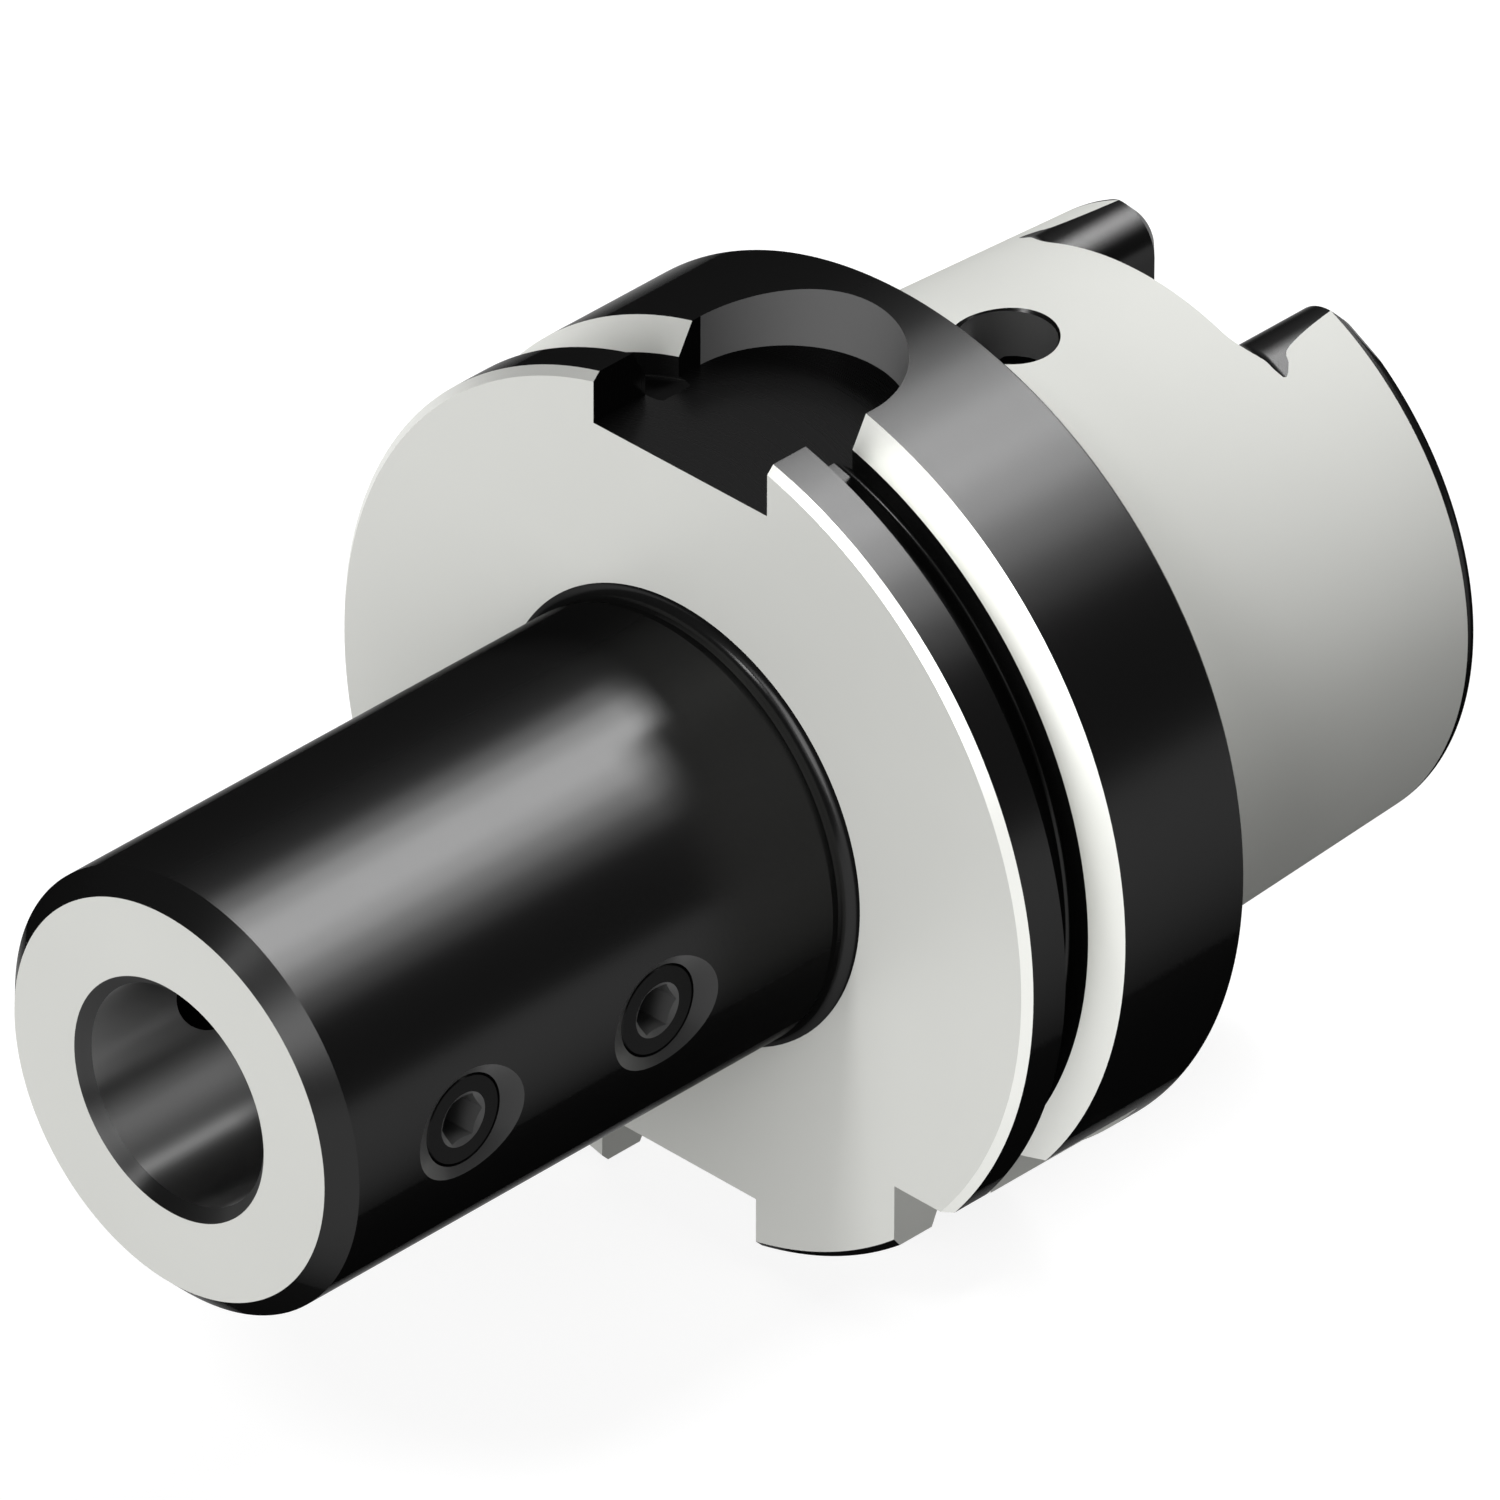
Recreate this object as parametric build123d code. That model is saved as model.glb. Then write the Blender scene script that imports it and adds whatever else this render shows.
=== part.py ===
from build123d import *
import os
from math import cos, radians, sin, sqrt, tan

# Tool adapter with a hollow 1:10 taper shank, a drive flange, a plain tool bore
# and two clamp screws.
#
# X is the tool axis. The nose with the tool bore points to -X and the hollow
# shank to +X. Z is up, through the wide keyway of the flange. The origin is the
# centre of the gauge face, where the flange meets the shank.
# All lengths are in millimetres and all angles in degrees.

# Nose
nose_diameter = 40.0
nose_length = 59.0
nose_chamfer = 2.0

# Relief turned into the root of the nose, for the corner of a grinding wheel
relief_length = 2.3
relief_depth = 0.22
relief_ramp_angle = 15.0
relief_corner_size = 1.0

# Bore that takes the tool's plain round shank
tool_bore_diameter = 20.0
tool_bore_depth = 52.0
tool_bore_chamfer = 1.0
drill_point_angle = 118.0

# Clamp screws in the side of the nose, one behind the other
first_screw_from_nose = 14.9
screw_spacing = 22.4
thread_core_diameter = 8.4
countersink_diameter = 12.0
countersink_angle = 120.0
far_wall_hole_depth = 4.0
screw_running_clearance = 0.05
screw_length = 8.0
screw_tip_diameter = 7.0
screw_edge_chamfer = 0.2
socket_across_flats = 4.0
socket_depth = 4.0
socket_mouth_diameter = 5.0

# Flange
flange_diameter = 80.0
flange_width = 26.0
flange_front_chamfer = 0.7
flange_rear_chamfer = 0.5

# Gripper groove round the flange: V flanks that end in a narrow flat slot
groove_from_gauge_face = 18.0
groove_mouth_width = 7.04
groove_slot_width = 3.9
groove_flank_angle = 30.0
groove_bottom_diameter = 70.0

# Keyways milled into the flange from its front face
upper_keyway_width = 20.0
lower_keyway_width = 18.0
keyway_floor_from_axis = 34.0
keyway_length = 22.5

# Square notch across the flange's lower corner, which tells one half turn
# from the other
notch_wall_from_axis = 25.0
notch_length = 22.4

# Hollow taper shank
shank_length = 40.0
shank_gauge_diameter = 60.012
shank_gauge_from_face = 8.0
shank_taper = 0.1
shank_end_chamfer = 1.2

# Relief turned into the corner between the shank and the gauge face
gauge_face_inner_diameter = 63.0
shank_relief_length = 2.0
shank_relief_depth = 0.25

# Inside of the shank, from its mouth to its bottom
mouth_diameter = 42.0
mouth_chamfer = 1.0
clamping_cone_start = 26.3
clamping_cone_angle = 30.0
clamping_groove_diameter = 50.0
clamping_groove_end = 15.0
hollow_bottom = 5.0
coolant_thread_core_diameter = 18.5
coolant_thread_length = 12.0
coolant_thread_chamfer = 1.0
coolant_channel_diameter = 8.0

# Key hole through the shank wall for the clamping set
key_hole_diameter = 8.5
key_hole_from_face = 12.5
key_hole_chamfer = 0.5

# Drive slots in the end of the shank
slot_width = 16.04
upper_slot_depth = 12.0
lower_slot_depth = 8.0
slot_lip_radius = 4.0
slot_lip_blend_from_face = 31.5
slot_lip_run_out_lean = 1.0
slot_floor_radius = 2.0
slot_mouth_chamfer = 1.45

# Allowance by which a cutting tool passes the surface it breaks through
overrun = 3.0

# Places along X, worked out from the lengths above
front_face = -flange_width
nose_face = front_face - nose_length
tool_bore_bottom = nose_face + tool_bore_depth
shank_end = shank_length

nose_radius = nose_diameter / 2
tool_bore_radius = tool_bore_diameter / 2
flange_radius = flange_diameter / 2


def shank_radius(x):
    """Radius of the 1:10 taper at a distance x behind the gauge face."""
    return (shank_gauge_diameter - shank_taper * (x - shank_gauge_from_face)) / 2


def turned_outline():
    """Half section of the outside, from the nose face to the end of the shank."""
    ramp_slope = tan(radians(relief_ramp_angle))
    land_radius = nose_radius - relief_depth
    relief_start = front_face - relief_length
    shank_land_radius = shank_radius(shank_relief_length) - shank_relief_depth
    shank_relief_ramp = shank_relief_depth / ramp_slope
    gauge_face_inner_radius = gauge_face_inner_diameter / 2
    chamfer_start = shank_end - shank_end_chamfer
    return make_face(
        Polyline(
            (nose_face, 0),
            (nose_face, nose_radius - nose_chamfer),
            (nose_face + nose_chamfer, nose_radius),
            (relief_start, nose_radius),
            (relief_start + relief_depth / ramp_slope, land_radius),
            (front_face - relief_corner_size, land_radius),
            (front_face, land_radius + relief_corner_size),
            (front_face, flange_radius - flange_front_chamfer),
            (front_face + flange_front_chamfer, flange_radius),
            (-flange_rear_chamfer, flange_radius),
            (0, flange_radius - flange_rear_chamfer),
            (0, gauge_face_inner_radius),
            (-shank_relief_depth, gauge_face_inner_radius - shank_relief_ramp),
            (-shank_relief_depth, shank_land_radius),
            (shank_relief_length - shank_relief_ramp, shank_land_radius),
            (shank_relief_length, shank_radius(shank_relief_length)),
            (chamfer_start, shank_radius(chamfer_start)),
            (shank_end, shank_radius(chamfer_start) - shank_end_chamfer),
            (shank_end, 0),
            (nose_face, 0),
        )
    )


def hollow_outline():
    """Half section of the tool bore, the coolant channel and the hollow shank."""
    channel_radius = coolant_channel_diameter / 2
    mouth_radius = mouth_diameter / 2
    groove_radius = clamping_groove_diameter / 2
    thread_radius = coolant_thread_core_diameter / 2
    drill_slope = tan(radians(drill_point_angle / 2))
    cone_length = (groove_radius - mouth_radius) / tan(radians(clamping_cone_angle))
    thread_bottom = hollow_bottom - coolant_thread_length
    return make_face(
        Polyline(
            (nose_face, 0),
            (nose_face, tool_bore_radius + tool_bore_chamfer),
            (nose_face + tool_bore_chamfer, tool_bore_radius),
            (tool_bore_bottom, tool_bore_radius),
            (tool_bore_bottom + (tool_bore_radius - channel_radius) / drill_slope, channel_radius),
            (thread_bottom - (thread_radius - channel_radius) / drill_slope, channel_radius),
            (thread_bottom, thread_radius),
            (hollow_bottom - coolant_thread_chamfer, thread_radius),
            (hollow_bottom, thread_radius + coolant_thread_chamfer),
            (hollow_bottom, mouth_radius),
            (clamping_groove_end - (groove_radius - mouth_radius), mouth_radius),
            (clamping_groove_end, groove_radius),
            (clamping_cone_start - cone_length, groove_radius),
            (clamping_cone_start, mouth_radius),
            (shank_end - mouth_chamfer, mouth_radius),
            (shank_end, mouth_radius + mouth_chamfer),
            (shank_end, 0),
            (nose_face, 0),
        )
    )


def gripper_groove_outline():
    """Half section of the V groove with its flat bottomed slot."""
    centre = -groove_from_gauge_face
    half_mouth = groove_mouth_width / 2
    half_slot = groove_slot_width / 2
    flank_slope = tan(radians(groove_flank_angle))
    flank_end_radius = flange_radius - (half_mouth - half_slot) / flank_slope
    half_overrun = half_mouth + overrun * flank_slope
    bottom_radius = groove_bottom_diameter / 2
    return make_face(
        Polyline(
            (centre - half_overrun, flange_radius + overrun),
            (centre - half_slot, flank_end_radius),
            (centre - half_slot, bottom_radius),
            (centre + half_slot, bottom_radius),
            (centre + half_slot, flank_end_radius),
            (centre + half_overrun, flange_radius + overrun),
            (centre - half_overrun, flange_radius + overrun),
        )
    )


def turned_body():
    """Everything that is cut on the lathe, as one body of revolution."""
    section = turned_outline() - hollow_outline() - gripper_groove_outline()
    return revolve(Plane.XZ * section, Axis.X, 360)


def keyway(width, side):
    """Cutter for a keyway with a round end: side is 1 above the axis and -1 below."""
    start = front_face - overrun
    round_centre = front_face + keyway_length - width / 2
    height = flange_radius + overrun - keyway_floor_from_axis
    shape = Pos((start + round_centre) / 2, 0) * Rectangle(round_centre - start, width)
    shape += Pos(round_centre, 0) * Circle(width / 2)
    floor = Plane((0, 0, side * keyway_floor_from_axis), x_dir=(1, 0, 0), z_dir=(0, 0, side))
    return extrude(floor * shape, height)


def index_notch():
    """Cutter for the square notch in the corner between -Y and -Z."""
    size = flange_radius + overrun - notch_wall_from_axis
    return Pos(front_face + notch_length, -notch_wall_from_axis, -notch_wall_from_axis) * Box(
        notch_length + overrun, size, size, align=(Align.MAX, Align.MAX, Align.MAX)
    )


def key_hole():
    """Cutter for the radial hole in the upper wall of the shank, with its chamfer."""
    outside = shank_radius(key_hole_from_face)
    radius = key_hole_diameter / 2
    hole = Cylinder(radius, outside + overrun, align=(Align.CENTER, Align.CENTER, Align.MIN))
    chamfer_cone = Pos(0, 0, outside - key_hole_chamfer) * Cone(
        radius,
        radius + key_hole_chamfer + overrun,
        key_hole_chamfer + overrun,
        align=(Align.CENTER, Align.CENTER, Align.MIN),
    )
    return Pos(key_hole_from_face, 0, 0) * (hole + chamfer_cone)


def slot_section():
    """Cross section of a drive slot above the axis.

    Flat walls stand up from the hollow. Near the outside each wall rounds over
    with a lip that meets the taper almost smoothly, and runs on straight from there.
    """
    half_width = slot_width / 2
    lip_centre_y = half_width + slot_lip_radius
    lip_centre_radius = shank_radius(slot_lip_blend_from_face) - slot_lip_radius
    lip_centre_z = sqrt(lip_centre_radius**2 - lip_centre_y**2)
    blend_turn = 90 + Vector(0, 1).get_angle(Vector(lip_centre_y, lip_centre_z))
    lip_turn = blend_turn - slot_lip_run_out_lean

    def lip_point(turn):
        return (
            lip_centre_y - slot_lip_radius * cos(radians(turn)),
            lip_centre_z + slot_lip_radius * sin(radians(turn)),
        )

    run_out = overrun * 2
    lip_end = lip_point(lip_turn)
    past_lip = (
        lip_end[0] + run_out * sin(radians(lip_turn)),
        lip_end[1] + run_out * cos(radians(lip_turn)),
    )
    top = flange_radius
    inside = mouth_diameter / 4
    right = [
        Line((half_width, inside), lip_point(0)),
        ThreePointArc(lip_point(0), lip_point(lip_turn / 2), lip_end),
        Polyline(lip_end, past_lip, (past_lip[0], top), (0, top)),
    ]
    left = [mirror(line, Plane.YZ) for line in right]
    floor_line = Line((-half_width, inside), (half_width, inside))
    return make_face(Curve() + right + left + [floor_line])


def drive_slot(depth, side):
    """Cutter for a drive slot with a chamfered mouth: side is 1 above the axis and -1 below."""
    floor = shank_end - depth
    section = slot_section()
    across = Plane((floor, 0, 0), x_dir=(0, side, 0), z_dir=(1, 0, 0))
    cutter = extrude(across * section, depth + overrun)
    floor_face = cutter.faces().sort_by(Axis.X)[0]
    outer_limit = shank_radius(0)
    walls = [
        edge
        for edge in floor_face.edges()
        if mouth_diameter / 4 < abs((edge @ 0.5).Z) < outer_limit
    ]
    mouth = Plane((shank_end - slot_mouth_chamfer, 0, 0), x_dir=(0, side, 0), z_dir=(1, 0, 0))
    # The chamfer grows past the end face by less than the lip's radius
    mouth_length = slot_mouth_chamfer + slot_lip_radius / 4
    return fillet(walls, slot_floor_radius) + extrude(mouth * section, mouth_length, taper=-45)


def screw_place(index):
    """X of a clamp screw: index 0 is the one nearer the nose face."""
    return nose_face + first_screw_from_nose + index * screw_spacing


def countersink_depth():
    """Depth at which the countersink has narrowed to the thread's core."""
    narrowing = (countersink_diameter - thread_core_diameter) / 2
    return narrowing / tan(radians(countersink_angle / 2))


def screw_frame(x, from_axis):
    """Plane across a screw's axis, facing out of the nose on the -Y side."""
    return Plane((x, -from_axis, 0), x_dir=(1, 0, 0), z_dir=(0, -1, 0))


def screw_hole(x):
    """Cutter for a screw hole, which runs on into the far wall of the bore."""
    radius = thread_core_diameter / 2
    far_wall = tool_bore_radius + far_wall_hole_depth
    hole_length = nose_radius + far_wall
    hole = Pos(0, 0, -hole_length) * Cylinder(
        radius, hole_length, align=(Align.CENTER, Align.CENTER, Align.MIN)
    )
    point_length = radius / tan(radians(drill_point_angle / 2))
    point = Pos(0, 0, -hole_length) * Cone(
        0, radius, point_length, align=(Align.CENTER, Align.CENTER, Align.MAX)
    )
    slope = tan(radians(countersink_angle / 2))
    countersink = Pos(0, 0, -countersink_depth()) * Cone(
        radius,
        countersink_diameter / 2 + overrun * slope,
        countersink_depth() + overrun,
        align=(Align.CENTER, Align.CENTER, Align.MIN),
    )
    return screw_frame(x, nose_radius) * (hole + point + countersink)


def holder_body():
    """The one solid piece of the adapter."""
    body = turned_body()
    body -= keyway(upper_keyway_width, 1)
    body -= keyway(lower_keyway_width, -1)
    body -= index_notch()
    body -= key_hole()
    body -= drive_slot(upper_slot_depth, 1)
    body -= drive_slot(lower_slot_depth, -1)
    for index in range(2):
        body -= screw_hole(screw_place(index))
    return body


def clamp_screw(index):
    """Headless clamp screw with a hexagon socket and a flat tip.

    Its outer end is level with the bottom of the countersink. The tip then
    stands clear of the tool bore.
    """
    radius = thread_core_diameter / 2 - screw_running_clearance
    tip_radius = screw_tip_diameter / 2
    shank = make_face(
        Polyline(
            (0, 0),
            (radius - screw_edge_chamfer, 0),
            (radius, -screw_edge_chamfer),
            (radius, -screw_length + (radius - tip_radius)),
            (tip_radius, -screw_length),
            (0, -screw_length),
            (0, 0),
        )
    )
    screw = revolve(Plane.XZ * shank, Axis.Z, 360)
    socket_corner_radius = socket_across_flats / 2 / cos(radians(30))
    socket = Pos(0, 0, -socket_depth) * extrude(
        RegularPolygon(socket_corner_radius, 6), socket_depth + overrun
    )
    mouth_radius = socket_mouth_diameter / 2
    slope = tan(radians(countersink_angle / 2))
    mouth = Cone(
        0, mouth_radius, mouth_radius / slope, align=(Align.CENTER, Align.CENTER, Align.MAX)
    )
    outer_end_from_axis = nose_radius - countersink_depth()
    return screw_frame(screw_place(index), outer_end_from_axis) * (screw - socket - mouth)


def main():
    """Build each piece and write it under its own name."""
    pieces = {
        "holder_body": holder_body(),
        "front_clamp_screw": clamp_screw(0),
        "rear_clamp_screw": clamp_screw(1),
    }
    os.makedirs("parts", exist_ok=True)
    for name, piece in pieces.items():
        export_step(piece, f"parts/{name}.step")


main()
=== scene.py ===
"""Looks of a hollow taper tool adapter, built round its packed model.

The tool axis is X with the nose at -X, Z is up through the wide keyway, and the
origin is the centre of the gauge face. Shapes are worked out in millimetres and
written into the meshes in metres.
"""

import math

import bpy
import numpy as np
from mathutils import Matrix, Vector


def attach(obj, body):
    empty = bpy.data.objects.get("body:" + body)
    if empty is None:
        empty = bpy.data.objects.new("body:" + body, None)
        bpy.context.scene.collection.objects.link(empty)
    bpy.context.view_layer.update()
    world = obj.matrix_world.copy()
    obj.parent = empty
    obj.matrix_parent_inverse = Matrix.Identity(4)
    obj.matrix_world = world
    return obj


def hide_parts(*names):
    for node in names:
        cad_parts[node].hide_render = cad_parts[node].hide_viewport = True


bl_info = {
    "name": "Hollow taper adapter looks",
    "version": (1, 0, 0),
    "blender": (4, 5, 0),
    "location": "3D View > Sidebar > Adapter",
    "description": "Detailed body, screws, steel finishes and studio of a hollow taper adapter",
    "category": "Add Mesh",
}

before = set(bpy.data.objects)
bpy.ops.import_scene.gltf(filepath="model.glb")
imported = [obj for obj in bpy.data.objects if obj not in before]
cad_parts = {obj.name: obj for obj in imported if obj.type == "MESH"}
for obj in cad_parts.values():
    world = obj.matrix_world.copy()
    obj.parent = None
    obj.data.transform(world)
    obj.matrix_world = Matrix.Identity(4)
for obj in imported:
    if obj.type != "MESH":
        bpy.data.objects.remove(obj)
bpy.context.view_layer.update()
MM = 0.001

# Points round the turned body, and round the small holes and screws
STEPS_ROUND = 240
SMALL_STEPS = 96

# Nose and its root relief
NOSE_FACE = -85.0
FRONT_FACE = -26.0
NOSE_RADIUS = 20.0
NOSE_CHAMFER = 2.0
RELIEF_LENGTH = 2.3
RELIEF_DEPTH = 0.22
RELIEF_RAMP = 0.85
ROOT_RING_RADIUS = 20.85

# Tool bore
BORE_RADIUS = 10.0
BORE_CHAMFER = 1.0
BORE_BOTTOM = -33.0
DRILL_SLOPE = math.tan(math.radians(59))

# Screw holes across the bore; the tip radius closes a cone without a pole
SCREW_PLACES = (-70.1, -47.7)
SCREW_HOLE_END = 14.0
THREAD_CORE = 4.2
THREAD_MAJOR = 5.0
THREAD_PAST_BORE = 1.6
SCREW_PITCH = 1.5
COUNTERSINK_RADIUS = 6.0
COUNTERSINK_LEAN = math.radians(60)
COUNTERSINK_SLOPE = math.tan(COUNTERSINK_LEAN)
SCREW_OUTER_END = NOSE_RADIUS - (COUNTERSINK_RADIUS - THREAD_CORE) / COUNTERSINK_SLOPE
TIP_RADIUS = 0.02

# Clamp screws, with places along each screw from its outer end
SCREW_BODY_RADIUS = 4.15
SCREW_EDGE = 0.2
SCREW_THREAD_START = 0.35
SCREW_THREAD_END = 7.2
SCREW_TIP_START = 7.35
SCREW_TIP_RADIUS = 3.5
SCREW_LENGTH = 8.0
SOCKET_HALF_WIDTH = 2.0
SOCKET_DEPTH = 4.0
SOCKET_MOUTH_RADIUS = 2.5

# Flange
FLANGE_RADIUS = 40.0
FRONT_CHAMFER = 0.7
BACK_CHAMFER = 0.5
GROOVE_CENTRE = -18.0
GROOVE_HALF_MOUTH = 3.52
GROOVE_HALF_SLOT = 1.95
GROOVE_BOTTOM = 35.0
GROOVE_LEAN = math.radians(30)
KEYWAY_FLOOR = 34.0
KEYWAY_LENGTH = 22.5
UPPER_KEYWAY_HALF = 10.0
LOWER_KEYWAY_HALF = 9.0
NOTCH_WALL = 25.0
NOTCH_LENGTH = 22.4

# Relief turned in the corner between the gauge face and the taper
GAUGE_FACE_INNER = 31.5
GAUGE_RELIEF_INNER = 30.567
GAUGE_RELIEF_DEPTH = 0.25
GAUGE_RELIEF_CORNER = 0.3
SHANK_RELIEF_DEPTH = 0.25
SHANK_RELIEF_RAMP = 1.067
SHANK_RELIEF_END = 2.0

# Shank and its hollow
GAUGE_DIAMETER = 60.012
GAUGE_DIAMETER_PLACE = 8.0
TAPER = 0.1
SHANK_END = 40.0
BLACK_END_LENGTH = 0.3
MOUTH_RADIUS = 21.0
MOUTH_CHAMFER = 1.0
SHOULDER_PLACE = 26.3
SHOULDER_LEAN = math.radians(30)
CLAMPING_RADIUS = 25.0
CLAMPING_GROOVE_END = 15.0
CLAMPING_GROOVE_LAND = 1.2
CLAMPING_GROOVE_RAMP = 2.8
HOLLOW_CORNER = 0.6
KEY_HOLE_PLACE = 12.5
KEY_HOLE_RADIUS = 4.25
KEY_HOLE_CHAMFER = 0.5
KEY_HOLE_START = 10.0

# Coolant tube's thread and channel
COOLANT_SEAT = 5.0
COOLANT_THREAD_END = -7.0
COOLANT_CORE = 9.25
COOLANT_MAJOR = 10.1
COOLANT_MOUTH = COOLANT_MAJOR + 0.15
COOLANT_PITCH = 1.5
CHANNEL_RADIUS = 4.0

# Drive slots; their cutters reach from inside the hollow to past the shank
SLOT_HALF_WIDTH = 8.02
SLOT_DEPTHS = (12.0, 8.0)
LIP_RADIUS = 4.0
LIP_BLEND_PLACE = 31.5
LIP_RUN_OUT_LEAN = 1.0
RUN_OUT_LENGTH = 6.0
SLOT_FLOOR_RADIUS = 2.0
SLOT_MOUTH_CHAMFER = 1.45
SLOT_CUTTER_FOOT = 10.5
SLOT_CUTTER_TOP = 41.0
SLOT_CUTTER_PAST_END = 1.0

# How far other cutters stand past the surface they cut
OVERRUN = 3.0

# Shares of a thread's pitch, counted both ways from its crest
CREST_SHARE = 0.125
FLANK_SHARE = 0.625

# A face keeps its own normal where its rule gives one that agrees less than this
LEAST_AGREEMENT = 0.2
COS_45 = math.sqrt(0.5)

X_AXIS = np.array((1.0, 0.0, 0.0))
Y_AXIS = np.array((0.0, 1.0, 0.0))
Z_AXIS = np.array((0.0, 0.0, 1.0))


class AdapterSizes(bpy.types.PropertyGroup):
    """Small sizes of the edges and threads."""

    root_radius: bpy.props.FloatProperty(
        name="Root radius", description="Radius in the corner between nose and flange",
        default=0.001, min=0.0003, max=0.0012, unit="LENGTH",
    )
    groove_corner: bpy.props.FloatProperty(
        name="Groove corner", description="Corner radius at the bottom of the gripper groove",
        default=0.00045, min=0.0001, max=0.0009, unit="LENGTH",
    )
    shank_end_radius: bpy.props.FloatProperty(
        name="Shank end radius", description="Rounding of the shank's outer end",
        default=0.0012, min=0.0002, max=0.0014, unit="LENGTH",
    )
    coolant_thread_depth: bpy.props.FloatProperty(
        name="Coolant thread depth", description="Depth of the coolant tube's thread",
        default=0.00085, min=0.0002, max=0.00095, unit="LENGTH",
    )
    screw_thread_depth: bpy.props.FloatProperty(
        name="Screw thread depth", description="Depth of the clamp screws' thread",
        default=0.0005, min=0.0001, max=0.0007, unit="LENGTH",
    )


class AdapterColours(bpy.types.PropertyGroup):
    """Colours and gloss of the steel finishes."""

    ground_steel: bpy.props.FloatVectorProperty(
        name="Ground steel", description="Colour of the ground faces, taper and groove flanks",
        subtype="COLOR", size=3, default=(0.66, 0.665, 0.635), min=0.0, max=1.0,
    )
    ground_roughness: bpy.props.FloatProperty(
        name="Ground roughness", description="Roughness of the ground surfaces",
        default=0.4, min=0.0, max=1.0, subtype="FACTOR",
    )
    ground_metal: bpy.props.FloatProperty(
        name="Ground metal", description="How far the ground surfaces mirror like bare metal",
        default=0.15, min=0.0, max=1.0, subtype="FACTOR",
    )
    black_oxide: bpy.props.FloatVectorProperty(
        name="Black oxide", description="Colour of the blackened surfaces",
        subtype="COLOR", size=3, default=(0.029, 0.029, 0.029), min=0.0, max=1.0,
    )
    black_roughness: bpy.props.FloatProperty(
        name="Black roughness", description="Roughness of the blackened surfaces",
        default=0.24, min=0.0, max=1.0, subtype="FACTOR",
    )
    black_metal: bpy.props.FloatProperty(
        name="Black metal", description="How far the blackened surfaces mirror like bare metal",
        default=0.8, min=0.0, max=1.0, subtype="FACTOR",
    )
    mark_depth: bpy.props.FloatProperty(
        name="Tool marks", description="How deep the turning, milling and grinding marks look",
        default=0.12, min=0.0, max=1.0, subtype="FACTOR",
    )


class AdapterStudio(bpy.types.PropertyGroup):
    """Floor, backdrop and lamps."""

    floor_colour: bpy.props.FloatVectorProperty(
        name="Floor", description="Colour of the floor", subtype="COLOR", size=3,
        default=(0.25, 0.25, 0.25), min=0.0, max=1.0,
    )
    background_strength: bpy.props.FloatProperty(
        name="Background", description="How white the floor shows behind the object", default=0.87,
        min=0.0, max=1.0,
    )
    even_light: bpy.props.FloatProperty(
        name="Even light", description="Strength of the even light from all round", default=0.03,
        min=0.0, max=1.0,
    )
    lamp_level: bpy.props.FloatProperty(
        name="Lamp level", description="Factor on all lamps", default=1.0, min=0.0, max=4.0,
    )


# Each surface has a finish and a rule for its normals
SURFACES = []


def surface(finish, rule="flat", **facts):
    """Registers a surface and returns its number, which its faces carry through the cuts."""
    SURFACES.append({"finish": finish, "rule": rule, **facts})
    return len(SURFACES) - 1


def round_surface(finish, origin, axis, out, along=0.0):
    """A straight-sided turned surface: its normal leans `along` the axis and `out` from it."""
    origin = np.array(origin, float)
    return surface(finish, "round", origin=origin, axis=axis, out=out, along=along)


def ring_surface(finish, origin, axis, ring_radius, sign):
    """A rounded corner: its normal points from a ring round the axis, or with sign -1 to it."""
    origin = np.array(origin, float)
    return surface(finish, "ring", origin=origin, axis=axis, ring_radius=ring_radius, sign=sign)


def surface_normals(card, points, face_normals):
    """Exact normals of points on a surface, from the rule its card names."""
    if card["rule"] == "flat":
        return face_normals
    from_origin = points - card["origin"]
    height = from_origin @ card["axis"]
    radial = from_origin - height[:, None] * card["axis"]
    radial /= np.maximum(np.linalg.norm(radial, axis=1), 1e-9)[:, None]
    if card["rule"] == "round":
        normal = card["out"] * radial + card["along"] * card["axis"]
    else:
        normal = card["sign"] * (from_origin - card["ring_radius"] * radial)
    return normal / np.maximum(np.linalg.norm(normal, axis=1), 1e-9)[:, None]


def grid_quads(rows, columns, close_rows, close_columns):
    """Corner numbers of the quads of a grid of points, joined end to end where closed."""
    row = np.arange(rows if close_rows else rows - 1)
    column = np.arange(columns if close_columns else columns - 1)
    i, j = (part.ravel() for part in np.meshgrid(row, column, indexing="ij"))
    up = (i + 1) % rows
    right = (j + 1) % columns
    low, high = i * columns, up * columns
    return np.stack((low + j, low + right, high + right, high + j), axis=1)


def read_array(items, key, width=1, kind=float):
    """A property of all items of a mesh as an array, with a row of `width` numbers for each."""
    values = np.empty(len(items) * width, dtype=kind)
    items.foreach_get(key, values)
    return values.reshape(-1, width) if width > 1 else values


def new_mesh(name, points, faces, numbers=None, slots=0):
    """A mesh of points in mm, with the surface number of each face as its material index."""
    mesh = bpy.data.meshes.new(name)
    mesh.from_pydata((np.asarray(points) * MM).tolist(), [], [list(face) for face in faces])
    for _ in range(slots):
        mesh.materials.append(None)
    if numbers is not None:
        mesh.polygons.foreach_set("material_index", np.asarray(numbers, dtype=np.int32))
    mesh.update()
    return mesh


def new_object(data, folder=None):
    """An object at the origin for a mesh, a lamp or a camera, in the scene or in a folder."""
    item = bpy.data.objects.new(data.name, data)
    (folder or bpy.context.scene.collection).objects.link(item)
    return item


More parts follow.
